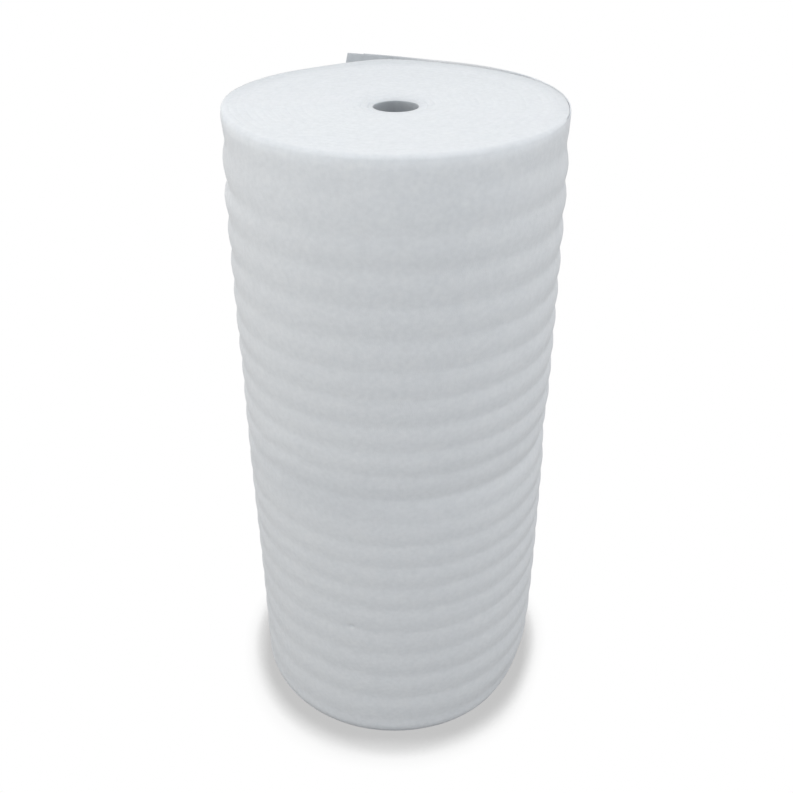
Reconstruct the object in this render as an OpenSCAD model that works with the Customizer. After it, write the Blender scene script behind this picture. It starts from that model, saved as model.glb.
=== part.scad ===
// Foam wrap roll standing on its end. One long sheet of soft closed-cell foam is wound on itself
// with no core, so a plain hole is left where the mandrel was drawn out. Small differences in the
// sheet's thickness add up turn by turn into rounded ribs round the outside, and the last of the
// sheet springs clear of the roll and stands loose behind it.
// Millimetres, +Z up. The origin is on the roll's axis, at the face that the roll stands on.

/* [Roll] */
// Width of the sheet, which is the height of the standing roll
sheet_w = 1200; // [900:10:1500]
// Diameter of the wound roll, over its ribs
roll_d = 580; // [450:5:700]
// Thickness of the sheet
sheet_t = 2; // [1.5:0.5:4]
// Slack between the outer turn and the turn under it
turn_slack = 0.6; // [0.4:0.1:1.5]
// Radius of the soft rim round the upper end of the roll
rim_r = 18; // [12:1:24]
// Radius of the rim round the lower end, which the roll's own weight tucks further in
foot_r = 30; // [18:1:40]

/* [Hole] */
// Diameter of the hole that the winding mandrel leaves
hole_d = 76; // [50:1:100]

/* [Ribs] */
// Height of one rib through the even middle of the roll
rib_pitch = 50.5; // [40:0.5:60]
// How many ribs on either side of the middle keep this height
even_ribs = 3.9; // [2:0.1:8]
// How much the ribs past them widen towards both ends, where the sheet is wound more slackly
rib_growth = 1.3; // [0.5:0.1:2]
// How far a rib stands out from the valleys beside it
rib_depth = 6; // [3:0.5:8]
// Height of the flat floor of a valley
valley_h = 6; // [4:1:10]
// The valley that has almost closed up, counted from the middle of the roll
closed_valley = -1; // [-3:1:3]
// How deep this valley still is
closed_depth = 1.5; // [1:0.5:2.5]

/* [Turns on the end faces] */
// Radial distance from one drawn turn line to the next
line_pitch = 12; // [8:1:24]
// Width of a turn line
line_w = 1; // [0.6:0.2:2]
// Depth of a turn line
line_depth = 1.5; // [0.5:0.5:3]
// Plain band left beside the hole and beside the rim
line_margin = 8; // [5:1:15]

/* [Loose tail] */
// Azimuth where the outer turn leaves the roll, counted from +X towards +Y
tail_start = -20; // [-40:1:20]
// How much wider than the roll the sheet curls through the quarter turn where it still hugs the roll
tail_spring = 15.5; // [10:0.5:30]
// Length of the last stretch, which stands off straight
tail_end_len = 202; // [120:1:300]
// How far the top corner of the free end is cut back
corner_back = 8; // [4:1:15]
// How far down the free end this cut reaches
corner_down = 36; // [20:1:60]

/* [Hidden] */
roll_r = roll_d / 2;
hole_r = hole_d / 2;
turn_step = sheet_t + turn_slack;
spring_r = roll_r + tail_spring;
hug_turn = 90;
// Spare reach of a cutting or clipping shape past the solid that it cuts
spare = 1;

// Ribs and valleys are counted from the middle of the roll; rib i lies between valleys i and i + 1
rib_count = ceil(sheet_w / 2 / rib_pitch);
function valley_z(i) =
    sheet_w / 2 + rib_pitch * i + sign(i) * rib_growth * max(0, abs(i) - even_ribs) ^ 2;
function crest_z(i) = (valley_z(i) + valley_z(i + 1)) / 2;

line_first_r = hole_r + line_margin;
function line_last_r(rim) = roll_r - turn_step - rim - line_margin;
function line_halves(rim) = floor((line_last_r(rim) - line_first_r) / (line_pitch / 2));

$fa = 3;
$fs = 1.5;

// One rib: the bulge between valley i and the next, seen in section, standing on the valley floors
module rib(r, i) {
    low = valley_z(i) + valley_h / 2;
    high = valley_z(i + 1) - valley_h / 2;
    bulge_r = (((high - low) / 2) ^ 2 + rib_depth ^ 2) / (2 * rib_depth);
    intersection() {
        translate([r - bulge_r, (low + high) / 2])
            circle(bulge_r);
        translate([r - rib_depth - spare, low - spare])
            square([rib_depth + 2 * spare, high - low + 2 * spare]);
    }
}

// Half-section of a ribbed drum of radius r, as high as the sheet is wide
module ribbed_section(r) {
    intersection() {
        union() {
            square([r - rib_depth, sheet_w]);
            for (i = [-rib_count - 1 : rib_count])
                if (valley_z(i + 1) > 0 && valley_z(i) < sheet_w)
                    rib(r, i);
            translate([0, crest_z(closed_valley - 1)])
                square([r - closed_depth, crest_z(closed_valley) - crest_z(closed_valley - 1)]);
        }
        square([r + spare, sheet_w]);
    }
}

// Section of the ribbed sheet by itself, with its outer face at radius r
module sheet_section(r) {
    difference() {
        ribbed_section(r);
        translate([-sheet_t, 0])
            ribbed_section(r);
    }
}

// Half-section of a drum with soft rims, wider than the ribs everywhere but at its rims
module rimmed_section(r) {
    rim_section(r, foot_r, foot_r);
    translate([0, foot_r])
        square([r + spare, sheet_w - foot_r - rim_r]);
    rim_section(r, rim_r, sheet_w - rim_r);
}

// One end of that section, with a rim of its own radius whose middle is at height z
module rim_section(r, rim, z) {
    translate([0, z - rim])
        square([r - rim, 2 * rim]);
    translate([r - rim, z])
        circle(rim);
}

// Half-section of the wound roll: ribs down its side and soft rims at its ends
module wound_section(r) {
    intersection() {
        ribbed_section(r);
        rimmed_section(r);
    }
}

// The winding, a spiral of two half turns that gains one turn's step on the way round
module winding() {
    translate([-turn_step / 4, 0, 0])
        rotate_extrude(angle = 180)
            wound_section(roll_r - turn_step * 3 / 4);
    translate([turn_step / 4, 0, 0])
        rotate_extrude(angle = 180, start = 180)
            wound_section(roll_r - turn_step / 4);
}

// The hole left by the mandrel, right through
module mandrel_hole() {
    translate([0, 0, -spare])
        cylinder(h = sheet_w + 2 * spare, r = hole_r);
}

// The end of the sheet, which leaves where the winding gains its step: it curls a little wider
// than the roll at first, and then stands off straight
module loose_tail() {
    translate([roll_r - spring_r, 0, 0]) {
        rotate_extrude(angle = hug_turn)
            sheet_section(spring_r);
        rotate(hug_turn)
            difference() {
                translate([0, tail_end_len, 0])
                    rotate([90, 0, 0])
                        linear_extrude(tail_end_len)
                            sheet_section(spring_r);
                translate([spring_r, tail_end_len, sheet_w])
                    corner_cut();
            }
    }
}

// Slanted cut across the top corner of the free end
module corner_cut() {
    rotate([90, 0, 90])
        linear_extrude(4 * rib_depth, center = true)
            polygon([
                [corner_back / 5, -corner_down * 6 / 5],
                [-corner_back * 6 / 5, corner_down / 5],
                [corner_back, corner_down / 5]
            ]);
}

// Outline of the turn lines on the end with this rim: half rings that grow by half a pitch each,
// so they join into a spiral
module turn_spiral(rim) {
    for (i = [0 : line_halves(rim) - 1])
        rotate(i % 2 * 180)
            translate([-line_pitch / 4, 0])
                half_ring(line_first_r + i * line_pitch / 2);
}

module half_ring(r) {
    intersection() {
        difference() {
            circle(r + line_w / 2);
            circle(r - line_w / 2);
        }
        translate([-2 * r, 0])
            square([4 * r, 2 * r]);
    }
}

module foam_roll() {
    color("whitesmoke")
        rotate(tail_start)
            difference() {
                union() {
                    winding();
                    loose_tail();
                }
                mandrel_hole();
                translate([0, 0, sheet_w - line_depth])
                    linear_extrude(line_depth + spare)
                        turn_spiral(rim_r);
                translate([0, 0, -spare])
                    linear_extrude(line_depth + spare)
                        turn_spiral(foot_r);
            }
}

foam_roll();
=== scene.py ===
# Foam wrap roll standing on its end: one long sheet of soft white foam wound on itself without a
# core, ribbed all the way down its side, with the end of the sheet standing loose behind it.
# Metres, +Z up, in the same frame as the CAD. The origin is on the roll's axis, at its lower face.
import math

import bpy
import numpy as np
from mathutils import Matrix, Vector


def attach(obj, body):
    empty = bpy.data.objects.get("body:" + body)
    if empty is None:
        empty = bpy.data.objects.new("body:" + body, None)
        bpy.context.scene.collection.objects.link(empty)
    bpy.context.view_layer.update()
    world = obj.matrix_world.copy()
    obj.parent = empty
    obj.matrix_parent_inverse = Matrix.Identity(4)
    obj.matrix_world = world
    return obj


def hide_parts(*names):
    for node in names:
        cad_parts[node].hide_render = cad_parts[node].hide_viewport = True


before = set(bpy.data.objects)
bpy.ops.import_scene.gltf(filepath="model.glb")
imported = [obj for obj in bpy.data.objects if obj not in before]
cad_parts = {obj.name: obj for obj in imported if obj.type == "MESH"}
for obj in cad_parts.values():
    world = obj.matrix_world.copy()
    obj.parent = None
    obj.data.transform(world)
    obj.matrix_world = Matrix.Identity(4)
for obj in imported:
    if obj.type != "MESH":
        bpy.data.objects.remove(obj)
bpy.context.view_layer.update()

# Main sizes, as in the part's source
SHEET_W = 1.2
ROLL_R = 0.290
SHEET_T = 0.002
TURN_STEP = 0.0026
RIM_R = 0.018
FOOT_R = 0.030
HOLE_R = 0.038
RIB_PITCH = 0.0505
EVEN_RIBS = 3.9
RIB_GROWTH = 0.0013
RIB_DEPTH = 0.006
CLOSED_VALLEY = -1
LINE_PITCH = 0.012
TAIL_START = math.radians(-20)
TAIL_SPRING = 0.0155
TAIL_HUG = math.radians(90)
TAIL_END = 0.202
CORNER_BACK = 0.008
CORNER_DOWN = 0.036

FULL_TURN = 2 * math.pi
SPRING_R = ROLL_R + TAIL_SPRING
HUG_LEN = TAIL_HUG * SPRING_R
TAIL_LEN = HUG_LEN + TAIL_END

# Below, an azimuth (az) counts from +X towards +Y, as in the part's source. A front angle (phi)
# counts from the front of the roll, positive towards its right side. Both are in radians.
LEFT_SIDE = -1.6
RIGHT_SIDE = 1.6
# Between these heights the looser foot passes into the even side
LOW_PART = (0.1, 0.3)
# How far down the side it's felt when its top edge stands up or is trimmed
TOP_PART = 0.03

# Ribs: how deep they are as shares of RIB_DEPTH, how much that varies, and how far they sway
FRONT_RIBS = 0.20
LEFT_RIBS = 0.80
RIGHT_FRONT_RIBS = 0.27
RIGHT_RIBS = 0.55
LOW_RIBS_MORE = 0.3
HIGH_RIBS_LESS = 0.3
RIBS_VARY = 0.14
RIBS_SWAY = 0.002
# How far the topmost valleys sit below their even places: how far, the middle and width of the
# stretch round the roll, and its middle and width up the roll
VALLEY_DROPS = [(0.011, 1.4, 0.5, 1.125, 0.035), (0.009, -0.35, 0.75, 1.11, 0.045)]

# How the side swells and draws in; towards the top it does so from the height TOP_IN_FROM
TOP_IN_FROM = 1.04
LEFT_IN = 0.0045
LEFT_FULLER = 0.0062
LEFT_TOP_IN = 0.0056
RIGHT_IN = 0.0004
RIGHT_TOP_IN = 0.0033
RIGHT_FOOT_IN = 0.0018
FRONT_TOP_IN = 0.0035
SIDE_WAVES = 0.0006
SIDE_DENTS = 0.0003
# Bands that draw in: how far, the height, and the distance over which they fade
LEFT_BANDS = [(0.0008, 0.60, 0.06), (0.0020, 0.72, 0.07)]
RIGHT_BANDS = [(0.0040, 0.6, 0.045)]
# A short notch in the left side, in the same terms as VALLEY_DROPS
LEFT_NOTCH = [(0.0034, -1.5, 0.5, 1.083, 0.012)]

# Marks on the side
DIMPLE_DEEP = 0.0035
DIMPLE_PHI = math.radians(-17.5)
DIMPLE_Z = 0.294
CREASE_OUT = 0.0009
CREASE_LEVELS = (0.600, 0.640)
CREASE_PHI = math.radians(-65)
CREASE_SPAN = math.radians(30)
CREASE_CLIMB = 0.05

# How far the foot is tucked in, how much crisper the rim is behind and softer in front, and how
# far the outer turns behind have sprung out and stand up
FRONT_TUCK = 0.0035
RIGHT_TUCK = 0.0174
RIM_CRISPER = 0.015
RIM_SOFTER = 0.002
CRISP_MIDDLE = math.radians(170)
CRISP_HALF = (math.radians(85), math.radians(135))
SPRUNG_BEHIND = 0.012
SPRUNG_LEFT = 0.005
RAISED = 0.0036
ROOT_GAP = 0.0002

# The loose tail: how far along it its top edge is free, how much of the ribs it loses, how its top
# edge climbs (how far, and from where to where along it), and how far down the sheet this is felt
TAIL_FREE = (0.044, 0.066)
TAIL_RELAX = 0.35
TAIL_RISES = [(0.0017, 0.1, 0.3), (0.0018, 0.45, 0.6)]
RISE_PART = 0.1
# At its free end the top edge is trimmed a little lower over this length, with a short step
NICK_LEN = 0.034
NICK_STEP = 0.001
NICK_DEEP = 0.0011

# The end faces: the hole's lip, the sinking towards it, and the unevenness of the turns
LIP_R = 0.0015
FACE_SINK = 0.0046
STEP_BEHIND = 0.0016
GROOVE = 0.0004
GROOVE_AT_HOLE = 0.0009
TURN_UNEVEN = 0.00022

# How much painted shade darkens the foam, from 0 to 1: behind, on loose turns, round the hole, where
# the side turns away, near the floor and at the waist
PAINTED_BACK_SHADE = 0.10
PAINTED_LOOSE_TURN_SHADE = 0.30
PAINTED_HOLE_SHADE = 0.16
PAINTED_STEP_SHADE = 0.18
PAINTED_RIM_SHADE = 0.27
PAINTED_LOW_SHADE = 0.09
PAINTED_FOOT_SHADE = 0.28
PAINTED_WAIST_SHADE = 0.14

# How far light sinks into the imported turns, and into the sheet where it lies close to them
PACKED_LIGHT = 0.008
CLOSE_LIGHT = 0.0008

# The mesh's columns and rows
EVEN_COLUMNS = 192
HUG_COLUMNS = 40
END_COLUMNS = 16
BORE_ROWS = 24
RIM_ANGLES = np.radians([90, 72, 55, 42, 28, 14, 0])
LIP_ANGLES = np.radians([30, 60, 90])
RIB_STEPS = [0.0, 0.08, 0.2, 0.34, 0.5, 0.66, 0.8, 0.92]
LINE_PHASES = [0.0, 0.1, 0.5, 0.9]

# The camera, whose focal length and place were found from the outlines of the roll's two ends
CAM_LENS = 44.72
CAM_PLACE = (0.0, -1.630, 1.632)
CAM_DOWN = math.radians(31.45)
CAM_ROLL = math.radians(-0.133)

cam_data = bpy.data.cameras.new("camera")
cam_data.lens = CAM_LENS
cam_data.sensor_width = 36.0
cam_data.clip_start = 0.05
cam = bpy.data.objects.new("camera", cam_data)
cam.matrix_world = (
    Matrix.Translation(CAM_PLACE)
    @ Matrix.Rotation(math.pi / 2 - CAM_DOWN, 4, "X")
    @ Matrix.Rotation(CAM_ROLL, 4, "Z")
)
bpy.context.scene.collection.objects.link(cam)
bpy.context.scene.camera = cam


# Helpers for shapes
def smoothstep(low, high, x):
    t = np.clip((x - low) / (high - low), 0.0, 1.0)
    return t * t * (3.0 - 2.0 * t)


def bell(x, middle, width):
    return np.exp(-((x - middle) / width) ** 2)


def bands(table, z):
    return sum(amount * bell(z, level, spread) for amount, level, spread in table)


def spots(table, phi, z):
    return sum(
        amount * bell(phi, middle, width) * bell(z, level, spread)
        for amount, middle, width, level, spread in table
    )


def front_angle(az):
    """Angle round the roll from its front, positive towards its right side."""
    return (az + math.pi / 2 + math.pi) % FULL_TURN - math.pi


WAVE_GAIN = 1.6
rng = np.random.default_rng(11)


def waves(count, most_round, most_up, drop):
    """Random waves over azimuth and height: whole numbers of them go round the roll."""
    found = []
    for _ in range(count):
        n = rng.integers(1, most_round + 1)
        up = rng.uniform(-most_up, most_up)
        phase = rng.uniform(0, FULL_TURN)
        found.append((n, up, phase, 1 / (1 + drop * n)))
    return found


def waving(field, az, z):
    """The waves' sum. They seldom all agree, so it is scaled to reach about 1 either way."""
    total = sum(weight for _, _, _, weight in field)
    waved = sum(weight * np.cos(n * az + up * z + phase) for n, up, phase, weight in field)
    return waved / total * WAVE_GAIN


SWELL = waves(9, 5, 9.0, 0.25)
DEPTH_VARY = waves(14, 7, 30.0, 0.1)
SWAY = waves(10, 4, 14.0, 0.3)
DENTS = waves(40, 26, 60.0, 0.03)


# Ribs are counted from the middle of the roll, and widen towards both ends
def valley_z(i):
    past = np.maximum(0.0, np.abs(i) - EVEN_RIBS)
    return SHEET_W / 2 + RIB_PITCH * i + np.sign(i) * RIB_GROWTH * past ** 2


RIB_INDEX = np.arange(-13.0, 14.0)
RIB_Z = valley_z(RIB_INDEX)


def rib_depth(phi, z):
    """How deep the ribs are: shallow in front, deeper round both sides, most of all high up."""
    depth = FRONT_RIBS * (1 + LOW_RIBS_MORE * (1 - smoothstep(*LOW_PART, z)))
    depth = depth * (1 - HIGH_RIBS_LESS * smoothstep(1.03, 1.1, z))
    depth = depth + LEFT_RIBS * bell(phi, LEFT_SIDE, 0.38) * (0.45 + 0.55 * smoothstep(0.25, 0.8, z))
    depth = depth + RIGHT_FRONT_RIBS * bell(phi, 0.98, 0.55)
    return depth + RIGHT_RIBS * bell(phi, RIGHT_SIDE, 0.42) * (0.6 + 0.4 * smoothstep(0.5, 0.8, z))


def rib_relief(az, z):
    """Bulges between the valleys; 0 on a crest."""
    phi = front_angle(az)
    even_z = z + spots(VALLEY_DROPS, phi, z) + RIBS_SWAY * waving(SWAY, az, z)
    c = np.interp(even_z, RIB_Z, RIB_INDEX)
    nearest = np.round(c)
    depth = rib_depth(phi, z) * (1.0 + RIBS_VARY * waving(DEPTH_VARY, az, nearest * RIB_PITCH))
    # One valley below the middle has almost closed up, and the one over it is the deepest
    closed = 0.45 + 0.30 * smoothstep(0.2, 1.0, phi)
    deepest = 0.95 + 0.5 * smoothstep(-0.6, 0.8, phi)
    depth = np.where(nearest == CLOSED_VALLEY, depth * closed, depth)
    depth = np.where(nearest == CLOSED_VALLEY + 1, depth * deepest, depth)
    # A rib's section lies between a parabola and a cosine
    u = np.abs(2.0 * (c - np.floor(c)) - 1.0)
    return -RIB_DEPTH * depth * (0.45 * u ** 2 + 0.55 * (1 - np.cos(math.pi * u)) / 2)


def swell(az, z):
    """The roll is a little fuller high up, and draws in at both ends and at half height."""
    phi = front_angle(az)
    left = (1 - np.sin(phi)) / 2
    near_top = smoothstep(TOP_IN_FROM, SHEET_W, z)
    on_left = LEFT_FULLER * smoothstep(0.15, 0.8, z) - LEFT_IN - LEFT_TOP_IN * near_top
    on_left = on_left - bands(LEFT_BANDS, z) - spots(LEFT_NOTCH, phi, z)
    on_right = -RIGHT_IN - RIGHT_TOP_IN * near_top - bands(RIGHT_BANDS, z)
    on_right = on_right - RIGHT_FOOT_IN * (1 - smoothstep(*LOW_PART, z))
    in_front = FRONT_TOP_IN * bell(phi, 0.0, 0.9) * smoothstep(1.14, SHEET_W, z)
    return left * on_left + (1 - left) * on_right - in_front + SIDE_WAVES * waving(SWELL, az, z)


def marks(az, z):
    """A fingertip-sized dimple low on the front, and faint slanting creases on the left."""
    phi = front_angle(az)
    dimple = DIMPLE_DEEP * bell(phi, DIMPLE_PHI, 0.015) * bell(z, DIMPLE_Z, 0.004)
    along = (phi - CREASE_PHI) / CREASE_SPAN
    creases = sum(bell(z, low + CREASE_CLIMB * along, 0.006) for low in CREASE_LEVELS)
    return CREASE_OUT * bell(along, 0.5, 0.55) * creases - dimple


def side_relief(az, z):
    """How far the side stands out from the roll's radius, which its rib crests reach."""
    return rib_relief(az, z) + swell(az, z) + marks(az, z) + SIDE_DENTS * waving(DENTS, az, z)


def tuck(az, z):
    """The roll's own weight tucks its foot in: least at the left, most at the right."""
    phi = front_angle(az)
    in_front = FRONT_TUCK * bell(phi, 0.34, 0.48) * np.exp(-z / 0.089)
    return in_front + RIGHT_TUCK * bell(phi, 1.12, 0.48) * np.exp(-(z / 0.067) ** 1.5)


def rim_radius(az):
    """The top rim is soft in front and crisp all round the back."""
    from_back = np.abs(front_angle(az - CRISP_MIDDLE))
    crisp = 1 - smoothstep(*CRISP_HALF, from_back)
    return RIM_R - RIM_CRISPER * crisp + RIM_SOFTER * bell(front_angle(az), 0.0, 0.8)


def loosened(az):
    """Behind, the outer turns have sprung out a little, as the tail has."""
    return SPRUNG_BEHIND * bell(az, 1.536, 0.42) + SPRUNG_LEFT * bell(az, 2.6, 0.5)


def raised(az):
    """There they also stand up a little, by this much at the rim."""
    return RAISED * bell(az, 1.66, 0.24)


def under_tail(a):
    """Where the tail starts, the turn under it lies close against it."""
    centre = ROLL_R - SPRING_R
    tail_r = centre * np.cos(a) + np.sqrt(SPRING_R ** 2 - (centre * np.sin(a)) ** 2)
    gap = tail_r - SHEET_T - (ROLL_R - TURN_STEP * (1 - a / FULL_TURN))
    return (gap - ROOT_GAP) * smoothstep(0.0, 0.05, a) * (1 - smoothstep(0.7, 1.2, a))


# Plan of the sheet's outer face. Once round the roll, it has even columns, and a few more through
# the dimple; then it goes on along the loose tail, with a few more where the top edge comes free.
dimple_at = (DIMPLE_PHI - math.pi / 2 - TAIL_START) % FULL_TURN
turn = np.concatenate([
    np.linspace(0.0, FULL_TURN, EVEN_COLUMNS + 1),
    dimple_at + np.array([-0.02, -0.012, -0.004, 0.004, 0.012, 0.02]),
])
turn.sort()
TURN_COLUMNS = len(turn) - 1
turn_r = ROLL_R - TURN_STEP * (1.0 - turn / FULL_TURN)
turn_az = turn[:-1] + TAIL_START

tail_s = np.concatenate([
    np.linspace(0.0, HUG_LEN, HUG_COLUMNS + 1),
    np.linspace(HUG_LEN, TAIL_LEN, END_COLUMNS + 1)[1:],
    np.linspace(TAIL_FREE[0] - 0.002, TAIL_FREE[1] + 0.002, 7),
    [TAIL_LEN - NICK_LEN, TAIL_LEN - NICK_LEN + NICK_STEP],
])
tail_s.sort()


def tail_plan(s):
    """Point and outward normal on the tail's outer face, s along it from where it leaves."""
    a = np.minimum(s / SPRING_R, TAIL_HUG)
    past = np.maximum(s - HUG_LEN, 0.0)
    nx, ny = np.cos(a), np.sin(a)
    return ROLL_R - SPRING_R + SPRING_R * nx - past * ny, SPRING_R * ny + past * nx, nx, ny


# Rows up the side. Each has a rim angle, which is 0 all the way between the two rims.
side_z = np.interp([i + f for i in RIB_INDEX for f in RIB_STEPS], RIB_INDEX, RIB_Z)
side_z = np.concatenate([side_z, DIMPLE_Z + np.array([-0.006, -0.003, 0.0, 0.003, 0.006])])
side_z.sort()
side_z = side_z[(side_z > FOOT_R + 0.002) & (side_z < SHEET_W - RIM_R - 0.008)]
row_t = np.concatenate([-RIM_ANGLES, np.zeros(len(side_z)), RIM_ANGLES[::-1]])
ROWS = len(row_t)
TOP_RIM = np.arange(ROWS) >= ROWS - len(RIM_ANGLES)
LOW_RIM = np.arange(ROWS) < len(RIM_ANGLES)
# The tail has the rows between these two, and its edges are where their rim angle is
EDGE_LOW = 2
EDGE_HIGH = ROWS - 1 - EDGE_LOW
EDGE_ANGLE = RIM_ANGLES[EDGE_LOW]
edge_rows = np.arange(EDGE_LOW, EDGE_HIGH + 1)


def rows_at(az):
    """Inset from the side, height, and height on the free tail, for every row at an azimuth."""
    rim = np.where(TOP_RIM, rim_radius(az), FOOT_R)
    inset = rim * (1 - np.cos(row_t))
    down = rim * (1 - np.sin(np.abs(row_t)))
    tail_down = rim * (1 - np.abs(row_t) / EDGE_ANGLE)
    middle = np.zeros(ROWS)
    middle[~TOP_RIM & ~LOW_RIM] = side_z
    z = np.where(TOP_RIM, SHEET_W - down, np.where(LOW_RIM, down, middle))
    tail_z = np.where(TOP_RIM, SHEET_W - tail_down, np.where(LOW_RIM, tail_down, middle))
    return inset, z, tail_z


def relief_at(az, z, t):
    """The side's relief. It fades out over the rims, but not at the top one where the tail starts."""
    fade = np.cos(t) * (1 - smoothstep(0.4, 1.4, np.abs(t)))
    kept = np.where(t > 0, bell(front_angle(az), 1.52, 0.3), 0.0)
    return side_relief(az, z) * (fade + (1 - fade) * kept)


# The mesh, put together from grids of points. Each point also says how much painted shade darkens the
# foam there.
verts = []
faces = []
painted_shade = []


def add(points, shade_here):
    """Adds an array of points and returns their numbers in the mesh, in the same layout."""
    points = np.asarray(points, float)
    first = len(painted_shade)
    flat = points.reshape(-1, 3)
    verts.append(flat)
    painted_shade.extend(np.broadcast_to(shade_here, points.shape[:-1]).ravel().tolist())
    return first + np.arange(len(flat)).reshape(points.shape[:-1])


def face(*ids):
    """Adds a face, leaving out corners that fall together."""
    kept = list(dict.fromkeys(int(i) for i in ids))
    if len(kept) > 2:
        faces.append(kept)


def strip(a, b):
    """Joins two lines of points with quads; a is on the left of b when seen from outside."""
    for i in range(len(a) - 1):
        face(a[i], b[i], b[i + 1], a[i + 1])


def face_painted_shade(r, az):
    """Painted shade on the end face: darker at the back, over the loose outer turns behind and at the
    right, round the hole, and most on the step down behind the hole.
    """
    behind = PAINTED_BACK_SHADE * smoothstep(-0.05, 0.25, r * np.sin(az))
    right = bell(np.cos(az), 1.0, 0.3) * smoothstep(-0.6, -0.2, np.sin(az))
    loose = np.maximum(smoothstep(-0.2, 0.5, np.sin(az)), 0.8 * right)
    outer_turns = PAINTED_LOOSE_TURN_SHADE * loose * smoothstep(0.245, 0.295, r)
    hole = PAINTED_HOLE_SHADE * bell(r, HOLE_R, 0.022)
    hole_step = PAINTED_STEP_SHADE * (1 + np.sin(az)) * bell(r, HOLE_R, 0.0055)
    return behind + outer_turns + hole + hole_step


def side_painted_shade(az):
    """Painted shade on the side: the end face's painted shade carried over the top rim, darker where
    the rim turns away, near and in under the foot, and in a band at half height left of the front.
    """
    z = rows_at(az)[1]
    tilt = math.pi / 2 - row_t
    over_rim = face_painted_shade(ROLL_R, az) * smoothstep(0.3, 1.2, row_t)
    rim = PAINTED_RIM_SHADE * smoothstep(-0.1, 0.45, tilt) * (1 - smoothstep(0.45, 1.05, tilt))
    foot = PAINTED_LOW_SHADE * (1 - smoothstep(0.03, 0.06, z)) + PAINTED_FOOT_SHADE * smoothstep(0.0, 0.7, -row_t)
    waist = PAINTED_WAIST_SHADE * bell(front_angle(az), -0.5, 0.6) * bell(z, 0.59, 0.045)
    return np.maximum(over_rim, rim) + foot + waist


def body_column(a, r):
    """One column up the body, at an angle from where the tail leaves."""
    az = a + TAIL_START
    inset, z, _ = rows_at(az)
    # The spiral's step fades out over the rims, so that the first and last columns meet on the face
    fade = smoothstep(EDGE_ANGLE, math.pi / 2, np.abs(row_t))
    radius = r * (1 - fade) + (ROLL_R - TURN_STEP / 2) * fade - inset
    radius = radius + relief_at(az, z, row_t) - tuck(az, z) + loosened(az) + under_tail(a)
    z = z + raised(az) * smoothstep(SHEET_W - TOP_PART, SHEET_W, z)
    return np.stack([radius * math.cos(az), radius * math.sin(az), z], -1)


def freed(s):
    """How far the tail's top edge has come away from the roll's rim."""
    return smoothstep(*TAIL_FREE, s)


def tail_column(s, inner):
    """One column up the tail's outer or inner face."""
    free = freed(s)
    inset, z_body, z_tail = (v[edge_rows] for v in rows_at(TAIL_START + s / ROLL_R))
    t = row_t[edge_rows] * (1 - free)
    z = z_body * (1 - free) + z_tail * free
    # The free end's top corner is cut back, and the top edge beside it is trimmed a little lower
    cut = CORNER_BACK * np.clip((z - (SHEET_W - CORNER_DOWN)) / CORNER_DOWN, 0.0, 1.0)
    nick = NICK_DEEP if s > TAIL_LEN - NICK_LEN + NICK_STEP / 2 else 0.0
    s_here = s * (TAIL_LEN - cut) / TAIL_LEN
    x, y, nx, ny = tail_plan(s_here)
    relax = 1.0 - TAIL_RELAX * smoothstep(0.3, TAIL_LEN, s)
    az = TAIL_START + s_here / ROLL_R
    out = relief_at(az, z, t) * relax - inset * (1 - free) - tuck(az, z)
    rise = sum(high * smoothstep(start, end, s) for high, start, end in TAIL_RISES)
    trimmed = nick * smoothstep(SHEET_W - TOP_PART, SHEET_W, z)
    z = z - trimmed + rise * smoothstep(SHEET_W - RISE_PART, SHEET_W, z)
    if inner:
        out = out - SHEET_T * np.cos(t)
        z = z - SHEET_T * np.sin(t)
    px, py = x + nx * out, y + ny * out
    c, w = math.cos(TAIL_START), math.sin(TAIL_START)
    return np.stack([px * c - py * w, px * w + py * c, z], -1)


def tail_painted_shade(s):
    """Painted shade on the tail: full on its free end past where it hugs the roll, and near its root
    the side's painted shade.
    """
    near_root = side_painted_shade(TAIL_START + s / ROLL_R)[edge_rows] * (1 - freed(s))
    return np.maximum(smoothstep(0.48, 0.6, s), near_root)


# Body columns, from the first, under the tail, to the last, which goes on as the tail
body = add([body_column(a, r) for a, r in zip(turn, turn_r)], [side_painted_shade(a + TAIL_START) for a in turn])
body[-1, 0] = body[0, 0]
body[-1, -1] = body[0, -1]
for k in range(TURN_COLUMNS):
    strip(body[k], body[k + 1])

# The tail: outer face, inner face, free end and edges
outer = [body[-1, edge_rows]] + [add(tail_column(s, False), tail_painted_shade(s)) for s in tail_s[1:]]
outer = np.array(outer)
inner = np.array([add(tail_column(s, True), tail_painted_shade(s)) for s in tail_s])
for k in range(len(tail_s) - 1):
    strip(outer[k], outer[k + 1])
    strip(inner[k + 1], inner[k])
strip(outer[-1], inner[-1])
strip(inner[:, 0], outer[:, 0])
strip(outer[:, -1], inner[:, -1])

# The wall under the tail's root, between the sheet's inner face and the turn below it
first = body[0]
strip(inner[0], first[edge_rows])
for m in list(range(EDGE_HIGH, ROWS - 1)) + list(range(EDGE_LOW)):
    face(body[-1, m], first[m], first[m + 1], body[-1, m + 1])
face(body[-1, EDGE_HIGH], inner[0, -1], first[EDGE_HIGH])
face(body[-1, EDGE_LOW], first[EDGE_LOW], inner[0, 0])

# End faces: rings that follow the spiral of the turns, so that the turn lines run with the mesh
FACE_IN = HOLE_R + LIP_R
FACE_OUT = ROLL_R - TURN_STEP / 2 - RIM_R
FACE_LINES = int((FACE_OUT - FACE_IN) / LINE_PITCH) + 2
TOUCHING = 1e-5


def dip(r, az):
    """The end faces sink towards the hole, with a steeper step down behind it."""
    behind = (1 + np.sin(az)) / 2
    return FACE_SINK * bell(r, HOLE_R, 0.028) + STEP_BEHIND * behind * bell(r, HOLE_R, 0.005)


def groove_depth(r):
    """Turn lines are deepest beside the hole, where the first turns are loose."""
    return GROOVE + GROOVE_AT_HOLE * bell(r, FACE_IN, 0.02)


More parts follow.
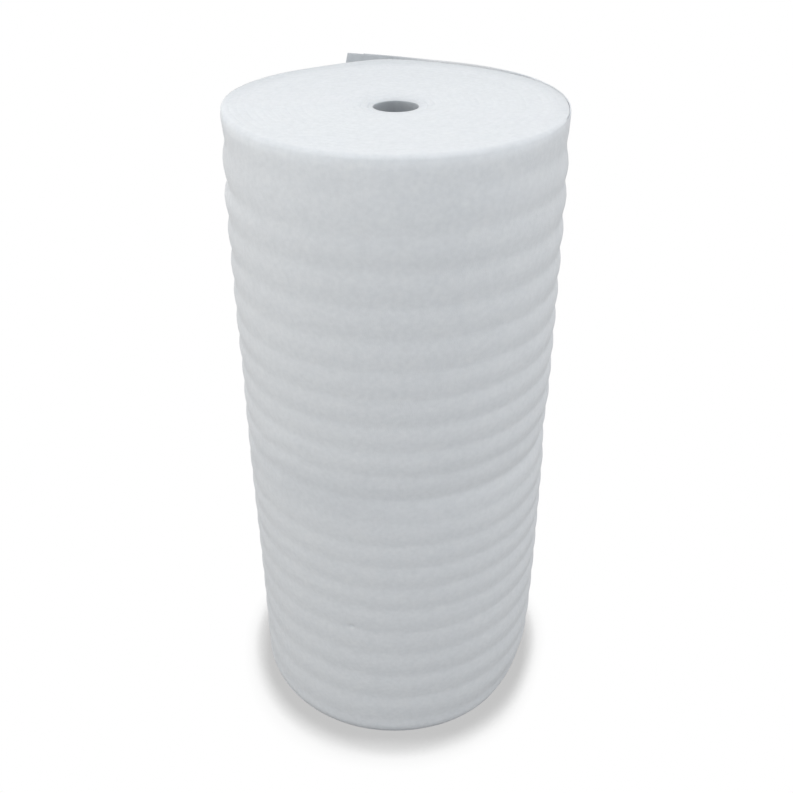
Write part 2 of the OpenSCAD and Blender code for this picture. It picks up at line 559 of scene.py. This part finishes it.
def end_face(rim_ring, level, up, seed):
    """Rings from the rim to the hole's lip. Returns the numbers of the lip's ring."""
    heights = np.abs(np.random.default_rng(seed).normal(0.0, TURN_UNEVEN, FACE_LINES + 2))
    lip_z = level - up * dip(FACE_IN, turn_az)
    ring = np.stack([FACE_IN * np.cos(turn_az), FACE_IN * np.sin(turn_az), lip_z], -1)
    lip = add(ring, face_painted_shade(FACE_IN, turn_az))
    # The face meets the rim where the rim's own radius puts it
    rim_xy = np.vstack(verts)[rim_ring][:, :2]
    rim_at = np.hypot(rim_xy[:, 0], rim_xy[:, 1])

    def ring_point(k, n, j):
        """Point of column k on turn line n, j steps on; past the lip or the rim it is theirs."""
        u = turn[k] / FULL_TURN
        az = turn_az[k]
        r = FACE_IN + LINE_PITCH * (n + LINE_PHASES[j] + u)
        if r <= FACE_IN + TOUCHING:
            return lip[k]
        if r >= FACE_OUT - TOUCHING:
            return rim_ring[k]
        fade = smoothstep(0.0, 0.006, r - FACE_IN) * smoothstep(0.0, 0.012, FACE_OUT - r)
        turn_at = n + 1 + (1 if j > 0 else 0)
        high = heights[turn_at] * (1 - u) + heights[min(turn_at + 1, FACE_LINES + 1)] * u
        groove = groove_depth(r) if j == 0 else 0.0
        down = dip(r, az) + fade * (groove + high)
        if up > 0:
            down = down - raised(az) * smoothstep(0.225, FACE_OUT + 0.012, r)
        # Rings stretch outwards with the rim, from halfway across the face
        out = r + smoothstep(0.16, FACE_OUT, r) * (rim_at[k] - FACE_OUT)
        point = [out * math.cos(az), out * math.sin(az), level - up * down]
        return int(add(point, face_painted_shade(out, az)))

    step = len(LINE_PHASES)
    columns = [
        [ring_point(k, n, j) for n in range(-1, FACE_LINES) for j in range(step)]
        for k in range(TURN_COLUMNS)
    ]
    # After a whole turn each ring has become the next one out
    columns.append(columns[0][step:] + [rim_ring[0]] * step)
    for a, b in zip(columns[:-1], columns[1:]):
        for i in range(len(a) - 1):
            quad = (a[i], a[i + 1], b[i + 1], b[i])
            face(*(quad if up > 0 else quad[::-1]))
    return lip


top_lip = end_face(body[:-1, -1], SHEET_W, 1, 5)
low_lip = end_face(body[:-1, 0], 0.0, -1, 6)

# The hole: a soft lip at both ends, and the innermost turn's wall. Each ring has a radius, a
# height, and how far it is past the lip, which is also how much painted shade darkens it.
lip_z = SHEET_W - dip(FACE_IN, turn_az)
top_rings = [
    (FACE_IN - LIP_R * math.sin(t), lip_z - LIP_R * (1 - math.cos(t)), t / LIP_ANGLES[-1])
    for t in LIP_ANGLES
]
low_rings = [(r, SHEET_W - z, deep) for r, z, deep in reversed(top_rings)]
wall_z = lip_z.min() - LIP_R - 0.003
wall_rings = [(HOLE_R, z, 1.0) for z in np.linspace(wall_z, SHEET_W - wall_z, BORE_ROWS)]
rings = [top_lip]
for r, z, deep in top_rings + wall_rings + low_rings:
    z = np.broadcast_to(z, turn_az.shape)
    radius = r + SIDE_WAVES * waving(SWELL, turn_az, z * 2) * deep
    rings.append(add(np.stack([radius * np.cos(turn_az), radius * np.sin(turn_az), z], -1), deep))
rings.append(low_lip)
for upper, lower in zip(rings[:-1], rings[1:]):
    for k in range(TURN_COLUMNS):
        n = (k + 1) % TURN_COLUMNS
        face(upper[k], upper[n], lower[n], lower[k])

points = np.vstack(verts)
light_depth = np.full(len(points), PACKED_LIGHT)
for k, s in enumerate(tail_s):
    loose = smoothstep(0.28, 0.46, s)
    light_depth[outer[k]] = light_depth[inner[k]] = CLOSE_LIGHT + (PACKED_LIGHT - CLOSE_LIGHT) * loose

used = sorted({i for f in faces for i in f})
renumber = {old: new for new, old in enumerate(used)}
mesh = bpy.data.meshes.new("foam_roll_wound")
mesh.from_pydata(points[used].tolist(), [], [[renumber[i] for i in f] for f in faces])
# The painted shade, and how far light sinks in, are stored on the points
for name, values in (("painted_shade", np.array(painted_shade)), ("light_depth", light_depth)):
    mesh.attributes.new(name, "FLOAT", "POINT").data.foreach_set("value", values[used])
mesh.validate()
mesh.update()
roll = bpy.data.objects.new("foam_roll_wound", mesh)
bpy.context.scene.collection.objects.link(roll)
mesh.polygons.foreach_set("use_smooth", [True] * len(mesh.polygons))
mesh.set_sharp_from_angle(angle=math.radians(50))
print("triangles", sum(len(p.vertices) - 2 for p in mesh.polygons))

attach(roll, "root")
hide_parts("foam_roll")


# Helpers for materials
def new_tree(owner):
    owner.use_nodes = True
    owner.node_tree.nodes.clear()
    return owner.node_tree


def node(tree, kind, inputs=None, **settings):
    """Adds a node. Each of its inputs is given a value, or another node's output to link from."""
    made = tree.nodes.new(kind)
    for name, value in settings.items():
        setattr(made, name, value)
    for name, value in (inputs or {}).items():
        if isinstance(value, bpy.types.NodeSocket):
            tree.links.new(value, made.inputs[name])
        else:
            made.inputs[name].default_value = value
    return made


def eased(tree, value, start, end, low, high):
    """Output that eases from low to high while a value goes from start to end."""
    inputs = {"Value": value, "From Min": start, "From Max": end, "To Min": low, "To Max": high}
    return node(tree, "ShaderNodeMapRange", inputs, interpolation_type="SMOOTHSTEP").outputs["Result"]


def camera_sees(tree, seen, lit):
    """Output of a shader that the camera sees as one thing, and the light meets as another."""
    path = node(tree, "ShaderNodeLightPath")
    inputs = {"Fac": path.outputs["Is Camera Ray"], 1: lit, 2: seen}
    return node(tree, "ShaderNodeMixShader", inputs).outputs["Shader"]


# The foam. Its closed cells show as a fine mottle, with broader, fainter clouds over it.
foam = bpy.data.materials.new("foam")
tree = new_tree(foam)
where = node(tree, "ShaderNodeTexCoord").outputs["Object"]
mottle = node(tree, "ShaderNodeTexNoise", {"Vector": where, "Scale": 115.0, "Detail": 5.0})
clouds = node(tree, "ShaderNodeTexNoise", {"Vector": where, "Scale": 35.0})
both = {"Factor": 0.3, "A": mottle.outputs["Fac"], "B": clouds.outputs["Fac"]}
blend = node(tree, "ShaderNodeMix", both, data_type="FLOAT")
tint = node(tree, "ShaderNodeValToRGB", {"Fac": blend.outputs["Result"]})
dark_stop, light_stop = tint.color_ramp.elements
dark_stop.position = 0.33
dark_stop.color = (0.823, 0.848, 0.871, 1)
light_stop.position = 0.67
light_stop.color = (0.887, 0.912, 0.936, 1)

# Painted shade: the foam's colour is multiplied towards grey by the painted shade stored on its points,
# most of all on the tail's free end and in the hole
painted_shade_fac = node(tree, "ShaderNodeAttribute", attribute_name="painted_shade").outputs["Fac"]
painted_shade_mix = {"Factor": painted_shade_fac, "A": tint.outputs["Color"], "B": (0.61, 0.62, 0.63, 1)}
painted_shaded = node(tree, "ShaderNodeMix", painted_shade_mix, data_type="RGBA", blend_type="MULTIPLY")

cells = node(tree, "ShaderNodeTexVoronoi", {"Vector": where, "Scale": 520.0}).outputs["Distance"]
bump = node(tree, "ShaderNodeBump", {"Height": cells, "Strength": 0.25, "Distance": 0.0006})
sinks = node(tree, "ShaderNodeAttribute", attribute_name="light_depth")
skin = node(tree, "ShaderNodeBsdfPrincipled", {
    "Base Color": painted_shaded.outputs["Result"],
    "Roughness": 0.75,
    "Specular IOR Level": 0.25,
    "Subsurface Weight": 1.0,
    "Subsurface Radius": (1.0, 1.0, 1.0),
    "Subsurface Scale": sinks.outputs["Fac"],
    "Normal": bump.outputs["Normal"],
})
node(tree, "ShaderNodeOutputMaterial", {"Surface": skin.outputs["BSDF"]})
mesh.materials.append(foam)

# Floor, white to the camera, with the soft contact shadow under the roll painted into its glow from
# ambient occlusion
FLOOR_REACH = 6.0
corners = [(-1, -1), (1, -1), (1, 1), (-1, 1)]
floor_mesh = bpy.data.meshes.new("floor")
floor_mesh.from_pydata([(FLOOR_REACH * x, FLOOR_REACH * y, 0) for x, y in corners], [], [(0, 1, 2, 3)])
floor = bpy.data.objects.new("floor", floor_mesh)
bpy.context.scene.collection.objects.link(floor)
floor_mat = bpy.data.materials.new("floor")
tree = new_tree(floor_mat)
# The painted contact shadow is widest in front of the roll, and narrower at its right
spot = node(tree, "ShaderNodeTexCoord")
split = node(tree, "ShaderNodeSeparateXYZ", {"Vector": spot.outputs["Object"]})
width = eased(tree, split.outputs["Y"], -0.33, -0.05, 0.092, 0.066)
narrow = eased(tree, split.outputs["X"], 0.0, 0.2, 1.0, 0.9)
reach = node(tree, "ShaderNodeMath", {0: width, 1: narrow}, operation="MULTIPLY")
near = node(tree, "ShaderNodeAmbientOcclusion", {"Distance": reach.outputs["Value"]}, samples=8)
painted_contact_shadow = eased(tree, near.outputs["AO"], 0.613, 0.952, 0.55, 1.0)
glow = node(tree, "ShaderNodeEmission", {"Strength": painted_contact_shadow})
matt = node(tree, "ShaderNodeBsdfDiffuse", {"Color": (0.30, 0.30, 0.30, 1)})
floor_shader = camera_sees(tree, glow.outputs["Emission"], matt.outputs["BSDF"])
node(tree, "ShaderNodeOutputMaterial", {"Surface": floor_shader})
floor_mesh.materials.append(floor_mat)

# World: white to the camera, a soft even fill for the light
world = bpy.data.worlds.new("studio")
bpy.context.scene.world = world
tree = new_tree(world)
white = node(tree, "ShaderNodeBackground", {"Color": (1, 1, 1, 1)})
fill = node(tree, "ShaderNodeBackground", {"Color": (0.97, 0.983, 1.0, 1), "Strength": 0.82})
world_shader = camera_sees(tree, white.outputs["Background"], fill.outputs["Background"])
node(tree, "ShaderNodeOutputWorld", {"Surface": world_shader})


def lamp(name, place, aim, size, watts, colour):
    data = bpy.data.lights.new(name, "AREA")
    data.shape = "DISK"
    data.size = size
    data.energy = watts
    data.color = colour
    made = bpy.data.objects.new(name, data)
    made.location = place
    made.rotation_euler = (Vector(aim) - Vector(place)).to_track_quat("-Z", "Y").to_euler()
    bpy.context.scene.collection.objects.link(made)


lamp("left", (-2.5, -1.0, 1.9), (0.0, 0.0, 1.0), size=1.3, watts=9.1, colour=(1.0, 0.96, 0.89))
lamp("right", (2.5, -1.2, 1.55), (0.0, 0.0, 0.85), size=1.3, watts=4.4, colour=(0.97, 0.985, 1.0))
lamp("overhead", (-0.2, -0.3, 3.1), (0.0, 0.0, 1.2), size=1.8, watts=4.7, colour=(0.96, 0.98, 1.0))

bpy.context.scene.view_settings.view_transform = "Standard"
